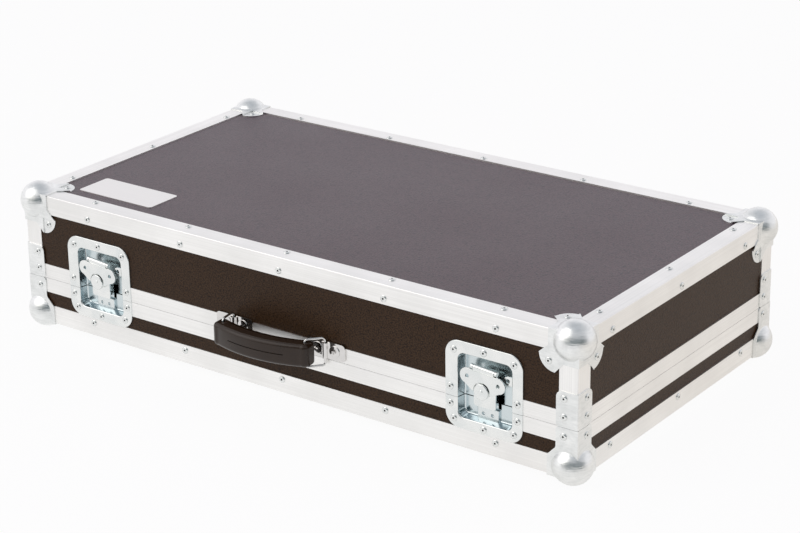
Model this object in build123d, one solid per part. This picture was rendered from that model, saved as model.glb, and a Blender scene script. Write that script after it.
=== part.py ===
"""Flight case for a lighting console: plywood box in aluminium edging, with ball corners,
two recessed twist latches, a swaying carry handle and two stop hinges at the back.

Millimetres. +X to the right of someone facing the latches, +Y to the back, +Z up.
The origin is the middle of the bottom panel's underside.
"""
from build123d import *
from build123d.topology import SkipClean
from math import asin, atan2, cos, degrees, hypot, radians, sin, sqrt
import os

# Box, over the outer faces of the aluminium edging
case_length = 860.0
case_depth = 465.0
case_height = 181.5
parting_height = 64.0
parting_gap = 0.3

# Plywood panels and aluminium edging
panel = 7.0
edging_wall = 1.5
edge_flange = 25.5
edging_round = 1.2
flange_margin = 0.5
closing_height = 20.0
closing_inner_wall = 10.0
closing_web = 2.0
groove_web = 5.0
tongue_out = 4.0
tongue_width = 3.0
tongue_height = 2.6
groove_clearance = 0.6

# Pressed steel corners
plate = 1.2
ball_radius = 25.0
ball_inset = 13.5
crease_radius = 1.5
plate_bend = 1.8
corner_cover = 40.0
foot_round = 12.0
brace_width = 28.5
brace_top = 109.0
brace_round = 8.0
flare_top = 37.0
flare_foot = 25.0
flare_round = 4.5
lobe_centre = 31.5
lobe_radius = 21.5
lobe_neck = 20.0
lobe_tip_round = 4.0
crank_margin = 5.0

# Blind rivets
rivet_radius = 4.6
rivet_height = 1.0
rivet_chamfer = 0.6
rivet_edge = 18.0
long_edge_pitch = 159.2
short_edge_pitch = 159.5
lobe_rivet = 40.0
brace_rivet_low = 77.0
brace_rivet_high = 100.0
foot_rivet = 52.7
foot_plate_rivet = 32.0
dish_side_rivet = 7.2
dish_corner_rivet = 12.0
upper_rivets = (-4.7, 43.4, 48.2)
lower_rivets = (-26.4, -44.8, -49.6)
hinge_rivet_pitch = 20.0
hinge_rivet_height = 11.5

# Twist latches, measured from the latch centre
latch_spacing = 605.0
latch_height = 80.85
dish_width = 108.0
dish_height = 112.0
dish_round = 19.0
dish_edge_round = 0.9
well_width = 76.0
well_height = 82.6
well_shift = 1.3
well_drop = 0.5
well_round = 9.0
well_depth = 13.0
well_draft = 8.0
well_margin = 0.6
mouth_round = 1.5
floor_round = 2.5
floor_gap = 1.2
edging_gap = 0.2
upper_notch = 21.0
lower_notch = 17.0
notch_top = -5.0
notch_bottom = -24.0
notch_margin = 1.5
boss_width = 30.0
boss_top = -25.0
boss_rise = 3.5
boss_round = 1.5
dimple_spread = 12.5
dimple_height = -33.3
dimple_radius = 2.2
eye_x = 33.5
eye_z = 21.2
eye_depth = 0.3
eye_plate = 1.6
eye_radius = 5.5
eye_hole = 2.8
hub_rise = 0.9
hub_radius = 10.0
hub_proud = 6.0
hub_round = 1.2
hub_rivet_radius = 2.6
hub_rivet_proud = 0.5
hub_rivet_chamfer = 0.4
rest_tilt = 4.5
axle_radius = 3.2
washer_radius = 6.5
washer_plate = 1.7
washer_gap = 0.3
running_clearance = 0.05
cam_radius = 7.5
cam_throw = 4.0
cam_clearance = 1.0
cam_inset = 0.1
hook_width = 30.6
hook_depth = 2.6
hook_plate = 2.0
hook_round = 3.0
hook_top = 18.0
hook_bottom = -22.2
hook_nose = 4.3
hook_nose_width = 22.0
hook_nose_round = 1.5
keeper_gap = 0.6
keeper_behind = 0.3
keeper_plate = 2.4
roll_height = 27.2
roll_radius = 3.0
roll_length = 36.0
roll_end = 3.0
roll_pin_radius = 1.45
roll_crease = 0.9
roll_crease_floor = 0.5
wing_proud = 4.4
wing_plate = 1.5
wing_round = 0.45
wing_foot = -2.0
wing_foot_margin = 2.5
wing_shoulder_out = 6.5
wing_shoulder_drop = 7.0
arm_gap = 0.9
arm_plate = 1.3
arm_width = 26.0
ear_spread = 43.0
ear_height = 14.15
ear_radius = 10.0
ear_hole = 2.4
crescent_gap = 1.3

# Handle
handle_spread = 144.4
handle_height = 77.0
staple_length = 58.0
staple_height = 22.0
staple_plate = 1.8
staple_round = 5.0
seat_radius = 7.8
seat_rise = 1.0
bow_height = 20.0
bow_flare = 3.0
screw_spread = 26.4
screw_radius = 4.3
screw_height = 2.4
screw_round = 1.7
wire_radius = 1.5
wire_bend = 4.5
wire_clearance = 0.6
loop_out = 3.2
loop_reach = 25.5
loop_height = 36.4
loop_turn = -14.3
grip_length = 144.0
grip_hole_spread = 124.4
grip_depth = 23.0
grip_height = 30.0
grip_drop = 1.7
grip_bow = 11.0
grip_end_round = 9.0
grip_edge_round = 5.5
grip_hole_play = 1.3
channel_width = 2.6
channel_depth = 4.0
channel_from_back = 6.5
channel_margin = 12.0
slit_height = 1.2
slit_depth = 1.5
slit_length = 84.0

# Hinges at the back
hinge_spacing = 560.0
hinge_width = 60.0
hinge_out = 4.0
hinge_leaf = 1.5
hinge_leaf_height = 17.0
knuckle_radius = 3.5
knuckle_gap = 0.4
knuckle_count = 5
pin_radius = 2.0
stop_angle = 105.5
stop_reach = 9.5
stop_plate = 2.0
stop_gap = 0.8
stop_root = 1.0
leaf_gap = 1.0
knuckle_clearance = 0.3

# Badge plate and foam
badge_from_left = 56.0
badge_from_front = 44.5
badge_length = 126.0
badge_width = 55.0
badge_plate = 0.8
badge_round = 4.0
foam_sheet = 15.0
foam_rim = 12.0
foam_rim_height = 12.0
foam_slack = 0.5

bottom = -edging_wall
top = bottom + case_height
parting = bottom + parting_height
lid_bottom = parting + parting_gap
half_length = case_length / 2
half_depth = case_depth / 2
panel_inset = edging_wall + panel
latch_z = bottom + latch_height
latch_face = -half_depth - plate
handle_z = bottom + handle_height
loop_slant = asin((handle_spread - grip_hole_spread) / 2 / loop_reach)
nodes = {}


def block(x0, x1, y0, y1, z0, z1):
    """A box between two corners."""
    return Pos((x0 + x1) / 2, (y0 + y1) / 2, (z0 + z1) / 2) * Box(x1 - x0, y1 - y0, z1 - z0)


def block_ring(outer, inner, z0, z1):
    """A rectangular wall round the case, between two insets from its outer faces."""
    solid = block(outer - half_length, half_length - outer, outer - half_depth, half_depth - outer, z0, z1)
    hole = block(inner - half_length, half_length - inner, inner - half_depth, half_depth - inner, z0, z1)
    return solid - hole


def mitred(ring):
    """Cut a wall that runs round the case into its four sides, at 45 degrees in the corners."""
    reach = closing_inner_wall + edge_flange
    height = 4 * case_height
    sides = {}
    for name, turn, near, far in (("front", 0, half_depth, half_length), ("right", 90, half_length, half_depth),
                                  ("back", 180, half_depth, half_length), ("left", 270, half_length, half_depth)):
        wedge = make_face(Polyline((-far - 1, -near - 1), (far + 1, -near - 1), (far - reach, -near + reach),
                                   (-far + reach, -near + reach), close=True))
        prism = Pos(0, 0, -height / 2) * extrude(wedge, amount=height, dir=(0, 0, 1))
        sides[name] = ring & (Rot(0, 0, turn) * prism)
    return sides


def on_front(sketch, depth, start=0.0):
    """Extrude a sketch drawn in X and Z, from start behind the plane Y = 0 to depth behind it."""
    plane = Plane(origin=(0, start, 0), x_dir=(1, 0, 0), z_dir=(0, -1, 0))
    return extrude(plane * sketch, amount=depth - start, dir=(0, 1, 0))


# Plywood panels

def latch_windows(z0, z1):
    """The openings that the latch wells pass through."""
    half = well_width / 2 + plate + well_margin
    middles = [side * latch_spacing / 2 + well_shift for side in (-1, 1)]
    cuts = [block(x - half, x + half, -half_depth - 1, -half_depth + closing_inner_wall + 1, z0, z1)
            for x in middles]
    return cuts[0] + cuts[1]


def panel_walls(prefix, z0, z1):
    """The four upright panels, the long ones the full length and the short ones between them."""
    outer_x = half_length - edging_wall
    outer_y = half_depth - edging_wall
    inner_x = half_length - panel_inset
    inner_y = half_depth - panel_inset
    well_low = latch_z - well_drop - well_height / 2 - plate - well_margin
    well_high = latch_z - well_drop + well_height / 2 + plate + well_margin
    window = latch_windows(max(z0 - 1, well_low), min(z1 + 1, well_high))
    nodes[prefix + "_front_panel"] = block(-outer_x, outer_x, -outer_y, -inner_y, z0, z1) - window
    nodes[prefix + "_back_panel"] = block(-outer_x, outer_x, inner_y, outer_y, z0, z1)
    nodes[prefix + "_left_panel"] = block(-outer_x, -inner_x, -inner_y, inner_y, z0, z1)
    nodes[prefix + "_right_panel"] = block(inner_x, outer_x, -inner_y, inner_y, z0, z1)


def bottom_panel():
    """The bottom, whose underside keeps a face of its own inside the edging and the foot plates."""
    outer_x = half_length - edging_wall
    outer_y = half_depth - edging_wall
    clear_x = half_length - edge_flange - flange_margin
    clear_y = half_depth - edge_flange - flange_margin
    foot_x = half_length - corner_cover - flange_margin
    foot_y = half_depth - corner_cover - flange_margin
    clear = block(-clear_x, clear_x, -foot_y, foot_y, 0, panel) + block(-foot_x, foot_x, -clear_y, clear_y, 0, panel)
    rest = block(-outer_x, outer_x, -outer_y, outer_y, 0, panel) - clear
    with SkipClean():
        return clear + rest


def panels():
    outer_x = half_length - edging_wall
    outer_y = half_depth - edging_wall
    nodes["base_bottom_panel"] = bottom_panel()
    nodes["lid_top_panel"] = block(-outer_x, outer_x, -outer_y, outer_y,
                                   top - edging_wall - panel, top - edging_wall)
    panel_walls("base", panel, parting - closing_web)
    panel_walls("lid", lid_bottom + groove_web, top - edging_wall - panel)


# Aluminium edging

def soft_outside(ring, z):
    """Round the long outer edges of an edging ring at a height."""
    far_x = half_length - edging_wall / 2
    far_y = half_depth - edging_wall / 2
    edges = [edge for edge in ring.edges() if abs(edge.center().Z - z) < 0.01
             and (abs(edge.center().X) > far_x or abs(edge.center().Y) > far_y)]
    return fillet(edges, edging_round)


def edge_angles():
    """Angle section along each edge of the bottom and of the top, mitred in the corners."""
    side = block_ring(0, edging_wall, bottom, bottom + edge_flange)
    face = block_ring(0, edge_flange, bottom, bottom + edging_wall)
    for name, piece in mitred(soft_outside(side + face, bottom)).items():
        nodes["base_edge_" + name] = piece
    side = block_ring(0, edging_wall, top - edge_flange, top)
    face = block_ring(0, edge_flange, top - edging_wall, top)
    for name, piece in mitred(soft_outside(side + face, top)).items():
        nodes["lid_edge_" + name] = piece


def closing_profiles():
    """The pair of sections at the parting: a tongue round the base, a groove round the lid."""
    cut = latch_windows(parting - closing_height - 1, lid_bottom + closing_height + 1)
    base = block_ring(0, edging_wall, parting - closing_height, parting)
    base += block_ring(0, closing_inner_wall, parting - closing_web, parting)
    base += block_ring(panel_inset, closing_inner_wall, parting - closing_height / 2, parting)
    base += block_ring(tongue_out, tongue_out + tongue_width, parting, parting + tongue_height)
    for name, piece in mitred(base).items():
        nodes["base_closing_" + name] = piece - cut if name == "front" else piece
    lid_wall_top = parting + closing_height
    lid = block_ring(0, edging_wall, lid_bottom, lid_wall_top)
    lid += block_ring(0, closing_inner_wall, lid_bottom, lid_bottom + groove_web)
    lid += block_ring(panel_inset, closing_inner_wall, lid_bottom, lid_bottom + closing_height / 2)
    lid -= block_ring(tongue_out - groove_clearance, tongue_out + tongue_width + groove_clearance,
                      lid_bottom, parting + tongue_height + groove_clearance)
    for name, piece in mitred(lid).items():
        nodes["lid_closing_" + name] = piece - cut if name == "front" else piece


def corner_posts(name, z0, z1):
    """Upright angle section at the four corners, between the edge angle and the closing profile."""
    post = block(-half_length, edge_flange - half_length, -half_depth, edge_flange - half_depth, z0, z1)
    outer = [edge for edge in post.edges().filter_by(Axis.Z)
             if edge.center().X < -half_length + 1 and edge.center().Y < -half_depth + 1]
    post = fillet(outer, edging_round)
    post -= block(edging_wall - half_length, half_length, edging_wall - half_depth, half_depth, z0, z1)
    nodes[name] = four_corners(post)


def four_corners(front_left):
    """The same piece at all four corners, as separate solids."""
    front_right = mirror(front_left, about=Plane.YZ)
    pair = [front_left, front_right]
    return Compound(children=pair + [mirror(piece, about=Plane.XZ) for piece in pair])


# Pressed corners. They are drawn round the corner (0, 0, 0) of a box that fills x, y, z > 0.

def bent(plates):
    """Round the outside of the bend where the front and side plates meet."""
    outer = [edge for edge in plates.edges().filter_by(Axis.Z)
             if abs(edge.center().X + plate) < 0.01 and abs(edge.center().Y + plate) < 0.01]
    return fillet(outer, plate_bend)


def with_ball(plates):
    """Join the ball to its plates with a soft crease, then hollow it where the box passes."""
    middle = Vector(ball_inset, ball_inset, ball_inset)
    centre = Pos(middle)
    reach = 3 * ball_radius
    tip = block(-plate, plate, -plate, plate, -plate, plate)
    solid = plates - tip + centre * Sphere(ball_radius)
    crease = [edge for edge in solid.edges() if edge.geom_type != GeomType.LINE
              and abs((edge @ 0.5 - middle).length - ball_radius) < 0.01 and min(edge @ 0.5) < 0.01 - plate]
    solid = fillet(crease, crease_radius)
    return solid - centre * Sphere(ball_radius - plate) - block(0, reach, 0, reach, 0, reach)


def to_side(front):
    """Copy a plate on the front face to the side face, across the corner's diagonal plane."""
    return mirror(front, about=Plane(origin=(0, 0, 0), z_dir=(1, -1, 0)))


def base_corner():
    """Ball with a foot plate below and an upright brace that flares into the ball's shoulders."""
    outline = make_face(Polyline((-plate, -plate), (corner_cover, -plate), (corner_cover, flare_foot),
                                 (brace_width, flare_top), (brace_width, parting_height),
                                 (-plate, parting_height), close=True))
    soft = [v for v in outline.vertices() if v.X > brace_width - 1 and v.Y > 0]
    outline = fillet(soft, flare_round)
    front = on_front(outline, 0, -plate)
    foot = Rectangle(corner_cover + plate, corner_cover + plate, align=(Align.MIN, Align.MIN))
    foot = fillet(foot.vertices().sort_by(lambda v: v.X + v.Y)[-1:], foot_round)
    foot = extrude(Pos(-plate, -plate, -plate) * foot, amount=plate, dir=(0, 0, 1))
    return with_ball(front + to_side(front) + foot)


def lobe_outline():
    """One face of the lid's corner: a square cover and a round-ended lobe on its diagonal."""
    tip = lobe_centre + lobe_radius
    mid = lobe_centre + lobe_radius / sqrt(2)
    sides = Polyline((lobe_centre, tip), (lobe_neck, corner_cover), (-plate, corner_cover), (-plate, -plate),
                     (corner_cover, -plate), (corner_cover, lobe_neck), (tip, lobe_centre))
    face = make_face(sides + ThreePointArc((tip, lobe_centre), (mid, mid), (lobe_centre, tip)))
    tips = [v for v in face.vertices() if abs(v.X + v.Y - tip - lobe_centre) < 0.01]
    return fillet(tips, lobe_tip_round)


def lobe_plate():
    """The part of the plate that lies on the edging."""
    crank = edge_flange + crank_margin + plate
    reach = lobe_centre + 2 * lobe_radius
    return on_front(lobe_outline(), 0, -plate) - block(crank, reach, -plate, 0, crank, reach)


def lobe_tip():
    """The rest of the lobe, cranked down past the edging on to the panel."""
    outline = lobe_outline()
    crank = edge_flange + crank_margin
    reach = lobe_centre + 2 * lobe_radius
    past = block(crank, reach, -plate, edging_wall, crank, reach)
    beyond = block(crank + plate, reach, -plate, edging_wall, crank + plate, reach)
    low = on_front(outline, edging_wall, edging_wall - plate) & past
    riser = (on_front(outline, edging_wall, -plate) & past) - beyond
    return low + riser


def on_three_faces(front):
    """The same piece on the front, side and flat faces of a corner."""
    return front + to_side(front) + mirror(front, about=Plane(origin=(0, 0, 0), z_dir=(0, 1, -1)))


def lid_corner():
    """Ball with a lobed plate on each of the three faces."""
    return with_ball(on_three_faces(lobe_plate())) + on_three_faces(lobe_tip())


def corner_brace():
    """Upright angle over the lid's closing profile and corner post."""
    low = lid_bottom - bottom
    outline = make_face(Polyline((-plate, low), (brace_width, low), (brace_width, brace_top),
                                 (-plate, brace_top), close=True))
    outline = fillet([v for v in outline.vertices() if v.X > 0 and v.Y > low + 1], brace_round)
    outline = fillet([v for v in outline.vertices() if v.X > brace_width - 1 and v.Y < low + 1], brace_round / 2)
    front = on_front(outline, 0, -plate)
    return bent(front + to_side(front))


def corners():
    place = Pos(-half_length, -half_depth, bottom)
    base = place * base_corner()
    lid = Pos(-half_length, -half_depth, top) * mirror(lid_corner(), about=Plane.XY)
    for prefix, piece in (("base_corner_", base), ("lid_corner_", lid)):
        right = mirror(piece, about=Plane.YZ)
        nodes[prefix + "front_left"] = piece
        nodes[prefix + "front_right"] = right
        nodes[prefix + "back_left"] = mirror(piece, about=Plane.XZ)
        nodes[prefix + "back_right"] = mirror(right, about=Plane.XZ)
    nodes["lid_corner_braces"] = four_corners(place * corner_brace())


# Rivets

def rivet(x, y, z, normal):
    """A blind rivet's low head, on the surface at a point."""
    head = Cylinder(rivet_radius, rivet_height, align=(Align.CENTER, Align.CENTER, Align.MIN))
    head = chamfer(head.edges().filter_by(GeomType.CIRCLE).sort_by(Axis.Z)[-1:], rivet_chamfer)
    return Plane(origin=(x, y, z), z_dir=normal) * head


def edge_rivets(flat_z, wall_z, up):
    """Two rows on each edge of the top or bottom: one on the flat flange, one on the upright one."""
    found = []
    for i in range(-2, 3):
        for side in (-1, 1):
            x = i * long_edge_pitch
            found.append(rivet(x, side * (half_depth - rivet_edge), flat_z, (0, 0, up)))
            found.append(rivet(x, side * half_depth, wall_z, (0, side, 0)))
    for i in range(-1, 2):
        for side in (-1, 1):
            y = i * short_edge_pitch
            found.append(rivet(side * (half_length - rivet_edge), y, flat_z, (0, 0, up)))
            found.append(rivet(side * half_length, y, wall_z, (side, 0, 0)))
    return found


def upright_rivets(heights):
    """Rivets through both legs of the upright braces."""
    found = []
    for z in heights:
        for sx in (-1, 1):
            for sy in (-1, 1):
                x = sx * (half_length - rivet_edge)
                y = sy * (half_depth - rivet_edge)
                found.append(rivet(x, sy * (half_depth + plate), bottom + z, (0, sy, 0)))
                found.append(rivet(sx * (half_length + plate), y, bottom + z, (sx, 0, 0)))
    return found


def lobe_rivets():
    """One rivet in each lobe of the lid's corners."""
    found = []
    rise = plate - edging_wall
    for sx in (-1, 1):
        for sy in (-1, 1):
            x = sx * (half_length - lobe_rivet)
            y = sy * (half_depth - lobe_rivet)
            z = top - lobe_rivet
            found.append(rivet(x, y, top + rise, (0, 0, 1)))
            found.append(rivet(x, sy * (half_depth + rise), z, (0, sy, 0)))
            found.append(rivet(sx * (half_length + rise), y, z, (sx, 0, 0)))
    return found


def foot_rivets():
    """One rivet through the foot plate of each base corner."""
    inset = foot_plate_rivet
    return [rivet(sx * (half_length - inset), sy * (half_depth - inset), bottom - plate, (0, 0, -1))
            for sx in (-1, 1) for sy in (-1, 1)]


def dish_rivets(heights):
    """Five rivets on one half of each latch dish: two beside the well, two in the corners, one between them."""
    side_x = dish_width / 2 - dish_side_rivet
    corner_x = dish_width / 2 - dish_corner_rivet
    side_z, corner_z, middle_z = heights
    places = [(-side_x, side_z), (side_x, side_z), (-corner_x, corner_z), (corner_x, corner_z), (0, middle_z)]
    return [rivet(side * latch_spacing / 2 + x, latch_face, latch_z + z, (0, -1, 0))
            for side in (-1, 1) for x, z in places]


def hinge_rivets(up):
    """Three rivets through each hinge leaf at the back."""
    z = (parting + lid_bottom) / 2 + up * hinge_rivet_height
    return [rivet(side * hinge_spacing / 2 + i * hinge_rivet_pitch, half_depth + hinge_leaf, z, (0, 1, 0))
            for side in (-1, 1) for i in (-1, 0, 1)]


def rivets():
    base = edge_rivets(bottom, bottom + rivet_edge, -1) + upright_rivets([foot_rivet]) + foot_rivets()
    base += dish_rivets(lower_rivets) + hinge_rivets(-1)
    lid = edge_rivets(top, top - rivet_edge, 1) + upright_rivets([brace_rivet_low, brace_rivet_high])
    lid += lobe_rivets() + dish_rivets(upper_rivets) + hinge_rivets(1)
    nodes["base_rivets"] = Compound(children=base)
    nodes["lid_rivets"] = Compound(children=lid)


# Twist latches. They are drawn round the latch's centre, with Y running into the case from the dish's face.

def rounded(width, height, radius):
    return RectangleRounded(width, height, radius)


def pressed_well(extra, depth, corner):
    """The well's space: sloping walls and a floor with round edges."""
    mouth = rounded(well_width + 2 * extra, well_height + 2 * extra, well_round + extra)
    plane = Plane(origin=(0, 0, 0), x_dir=(1, 0, 0), z_dir=(0, -1, 0))
    well = extrude(plane * mouth, amount=-depth, taper=well_draft)
    well = fillet(well.faces().sort_by(Axis.Y)[-1].edges(), corner)
    return Pos(well_shift, 0, -well_drop) * well


def dish():
    """The whole pressed dish: a flat rim with rounded edges, sloping walls and a flat floor."""
    rim = on_front(rounded(dish_width, dish_height, dish_round), plate)
    rim = fillet(rim.faces().sort_by(Axis.Y)[0].edges(), dish_edge_round)
    whole = rim + pressed_well(plate, well_depth + plate, floor_round + plate)
    whole -= pressed_well(0, well_depth, floor_round)
    mouth = [edge for edge in whole.edges() if abs(edge.center().Y) < 0.01
             and abs(edge.center().X) < well_width / 2 + 2 and abs(edge.center().Z) < well_height / 2 + 1]
    return fillet(mouth, mouth_round)


def dish_skirt():
    """The rim's turned edge, which closes the gap down to the panel beside the closing profile."""
    outline = rounded(dish_width, dish_height, dish_round) - rounded(dish_width - 2 * plate,
                                                                     dish_height - 2 * plate, dish_round - plate)
    skirt = on_front(outline, plate + edging_wall, plate)
    low = parting - closing_height - edging_gap - latch_z
    high = parting + closing_height + edging_gap - latch_z
    reach = 2 * dish_height
    skirt -= block(-reach, reach, 0, reach, low, high)
    return skirt - block(-reach, reach, 0, reach, -reach, bottom + edge_flange + edging_gap - latch_z)


def padlock_eye():
    """A flat eye joined to the well's right wall, level with the rim, for a padlock's shackle."""
    wall = well_shift + well_width / 2
    eye = Pos(eye_x, eye_z) * Circle(eye_radius)
    eye += Pos((eye_x + wall) / 2, eye_z) * Rectangle(wall - eye_x, 2 * eye_radius)
    eye -= Pos(eye_x, eye_z) * Circle(eye_hole)
    return on_front(eye, eye_depth + eye_plate, eye_depth)


def keeper():
    """The raised boss in the lower dish and the upright tab that the hook pulls on."""
    floor = well_depth + plate / 2
    low = -well_drop - well_height / 2
    boss = block(-boss_width / 2, boss_width / 2, well_depth - boss_rise, floor, low, boss_top)
    side = [edge for edge in boss.edges() if edge.center().Y < floor - 1 and edge.center().Z > low + 1]
    boss = fillet(side, boss_round)
    for x in (-1, 1):
        boss -= Pos(x * dimple_spread / 2, well_depth - boss_rise, dimple_height) * Sphere(dimple_radius)
    tab_low = hook_bottom + hook_plate + keeper_gap
    tab = block(-hook_nose_width / 2, hook_nose_width / 2, hook_depth + hook_plate + keeper_behind, floor,
                tab_low, tab_low + keeper_plate)
    return boss + tab


def notches():
    """Openings in the floor at both sides of the hook, on both sides of the parting."""
    back = well_depth + 2 * plate
    front = well_depth - floor_round
    split = parting - latch_z
    inner = hook_nose_width / 2 + notch_margin
    upper = block(-upper_notch, upper_notch, front, back, split, notch_top)
    lower = block(-lower_notch, lower_notch, front, back, notch_bottom, split)
    return upper + lower - block(-inner, inner, front, back, notch_bottom, notch_top)


def latch_dishes():
    whole = dish() + dish_skirt() - notches()
    reach = dish_height
    split = parting - latch_z
    middle = (parting + lid_bottom) / 2 - latch_z
    whole -= block(-reach, reach, plate + mouth_round / 2, reach, middle - floor_gap / 2, middle + floor_gap / 2)
    lower = whole & block(-reach, reach, -reach, reach, -reach, split)
    upper = whole & block(-reach, reach, -reach, reach, lid_bottom - latch_z, reach)
    bore = Pos(0, 0, hub_rise) * on_front(Circle(axle_radius + running_clearance), well_depth + 2 * plate)
    return upper + padlock_eye() - bore, lower + keeper()


def latch_arms():
    """Plate behind the wing that carries the wing's hinge pin between two eyes."""
    depth = wing_plate - wing_proud + arm_gap
    top_edge = roll_height - roll_radius - arm_gap
    outline = Pos(0, top_edge / 2) * Rectangle(arm_width, top_edge) + Circle(hub_radius)
    outline += Pos(0, top_edge - roll_radius) * Rectangle(roll_length, 2 * roll_radius)
    arms = on_front(outline, depth + arm_plate, depth)
    axis = roll_radius - wing_proud
    for side in (-1, 1):
        x = side * (roll_length - roll_end) / 2
        arms += Pos(x, axis, roll_height) * Rot(0, 90, 0) * Cylinder(roll_radius, roll_end)
        arms += block(x - roll_end / 2, x + roll_end / 2, depth, depth + arm_plate, top_edge - 1, roll_height)
    return arms + Pos(0, axis, roll_height) * Rot(0, 90, 0) * Cylinder(roll_pin_radius, roll_length)


def latch_hub():
    """Spindle with a disc at the front, arms to the wing's hinge and an eccentric inside the hook."""
    back = well_depth + plate
    disc = on_front(Circle(hub_radius), arm_plate + arm_gap + wing_plate - wing_proud, -hub_proud)
    disc = fillet(disc.edges().filter_by(GeomType.CIRCLE).sort_by(Axis.Y)[:1], hub_round)
    rivet_head = on_front(Circle(hub_rivet_radius), hub_rivet_proud - hub_proud, -hub_rivet_proud - hub_proud)
    disc += chamfer(rivet_head.edges().filter_by(GeomType.CIRCLE).sort_by(Axis.Y)[:1], hub_rivet_chamfer)
    turned = Rot(0, rest_tilt, 0) * (disc + latch_arms())
    spindle = on_front(Circle(axle_radius), back + washer_gap + washer_plate / 2, -wing_proud)
    cam = on_front(Pos(0, cam_throw) * Circle(cam_radius), hook_depth + hook_plate - cam_inset,
                   hook_depth + cam_inset)
    washer = on_front(Circle(washer_radius), back + washer_gap + washer_plate, back + washer_gap)
    return Pos(0, 0, hub_rise) * (turned + spindle + cam + washer)


def wing_outline():
    """Two round ears, a straight top under the hinge and a round opening for the disc."""
    roll = roll_length - 2 * roll_end - 2 * knuckle_gap
    neck = hub_radius + crescent_gap + wing_foot_margin
    shoulder = ear_spread / 2 + wing_shoulder_out
    waist = ear_height - wing_shoulder_drop
    body = make_face(Polyline((-ear_spread / 2, ear_height + ear_radius), (-roll / 2, roll_height),
                              (roll / 2, roll_height), (ear_spread / 2, ear_height + ear_radius),
                              (shoulder, waist), (neck, wing_foot), (-neck, wing_foot),
                              (-shoulder, waist), close=True))
    for side in (-1, 1):
        body += Pos(side * ear_spread / 2, ear_height) * Circle(ear_radius)
        middle = side * (roll_length - roll_end) / 2
        body -= Pos(middle, roll_height) * Rectangle(roll_end + 2 * knuckle_gap, 2 * (roll_radius + knuckle_gap))
    for side in (-1, 1):
        body -= Pos(side * ear_spread / 2, ear_height) * Circle(ear_hole)
    return body - Circle(hub_radius + crescent_gap)


def latch_wing():
    """Butterfly plate that lies round the hub's disc and is rolled round the pin at its top."""
    roll = roll_length - 2 * roll_end - 2 * knuckle_gap
    wing = on_front(wing_outline(), wing_plate - wing_proud, -wing_proud)
    front = wing.faces().sort_by(Axis.Y)[0]
    wing = fillet(front.edges().filter_by(lambda edge: edge.center().Z < roll_height - 1), wing_round)
    centre = Pos(0, roll_radius - wing_proud, roll_height) * Rot(0, 90, 0)
    wing += centre * Cylinder(roll_radius, roll)
    wing -= centre * Cylinder(roll_pin_radius + running_clearance, roll_length)
    low = roll_height - roll_radius
    floor = wing_plate - wing_proud - roll_crease_floor
    wing -= block(-roll / 2, roll / 2, -wing_proud - 1, floor, low - roll_crease, low)
    return Pos(0, 0, hub_rise) * Rot(0, rest_tilt, 0) * wing


def latch_hook():
    """Flat hook that the eccentric draws up, with a nose bent in under the keeper's tab."""
    middle = hub_rise + cam_throw
    slot_radius = cam_radius + cam_clearance
    outline = Pos(0, (hook_top + hook_bottom) / 2) * Rectangle(hook_width, hook_top - hook_bottom)
    outline = fillet(outline.vertices(), hook_round)
    outline -= Pos(0, middle) * SlotCenterToCenter(2 * cam_throw, 2 * slot_radius)
    arm = on_front(outline, hook_depth + hook_plate, hook_depth)
    nose = block(-hook_nose_width / 2, hook_nose_width / 2, hook_depth, hook_depth + hook_plate + hook_nose,
                 hook_bottom, hook_bottom + hook_plate)
    bend = nose.edges().filter_by(Axis.X).sort_by(lambda edge: edge.center().Y + edge.center().Z)[:1]
    return arm + fillet(bend, hook_nose_round)


def latches():
    upper, lower = latch_dishes()
    pieces = {"latch_dish": upper, "latch_keeper_dish": lower, "latch_hub": latch_hub(),
              "latch_wing": latch_wing(), "latch_hook": latch_hook()}
    for side, name in ((-1, "left"), (1, "right")):
        place = Pos(side * latch_spacing / 2, latch_face, latch_z)
        for node, piece in pieces.items():
            nodes[node + "_" + name] = place * piece


# Handle. Its two wire loops turn in upright sleeves, and the grip hangs between them as a four-bar linkage.

def handle_rest():
    """Where the loops' outer legs stand at rest, as X and distance out from the front face."""
    left = radians(loop_turn) + loop_slant
    near = (-handle_spread / 2 + loop_reach * sin(left), loop_out + loop_reach * cos(left))
    far_pivot = (handle_spread / 2, loop_out)
    dx = far_pivot[0] - near[0]
    dy = far_pivot[1] - near[1]
    span = hypot(dx, dy)
    along = (span ** 2 + grip_hole_spread ** 2 - loop_reach ** 2) / (2 * span)
    across = sqrt(grip_hole_spread ** 2 - along ** 2)
    far = (near[0] + (along * dx - across * dy) / span, near[1] + (along * dy + across * dx) / span)
    return near, far


def staple():
    """Pressed plate with a seat for each screw and an upright sleeve that flares into it."""
    base = on_front(rounded(staple_length, staple_height, staple_round), 0, -staple_plate)
    for side in (-1, 1):
        seat = on_front(Pos(side * screw_spread / 2, 0) * Circle(seat_radius), 0, -staple_plate - seat_rise)
        base += fillet(seat.faces().sort_by(Axis.Y)[0].edges(), seat_rise / 2)
    bore = wire_radius + wire_clearance
    outer = bore + staple_plate
    flare_y = staple_plate + bow_flare
    flare_x = sqrt((outer + bow_flare) ** 2 - (flare_y - loop_out) ** 2)
    meet_y = loop_out + outer * (flare_y - loop_out) / (outer + bow_flare)
    section = Pos(0, -meet_y / 2) * Rectangle(2 * flare_x, meet_y)
    for side in (-1, 1):
        section -= Pos(side * flare_x, -flare_y) * Circle(bow_flare)
    section += Pos(0, -loop_out) * Circle(outer)
    sleeve = Pos(0, 0, -bow_height / 2) * extrude(section, amount=bow_height, dir=(0, 0, 1))
    crown = Pos(0, -loop_out, 0)
    hollow = block(-bore, bore, -loop_out, 1, -staple_height, staple_height)
    hollow += crown * Cylinder(bore, 2 * staple_height)
    return base + sleeve - hollow


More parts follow.
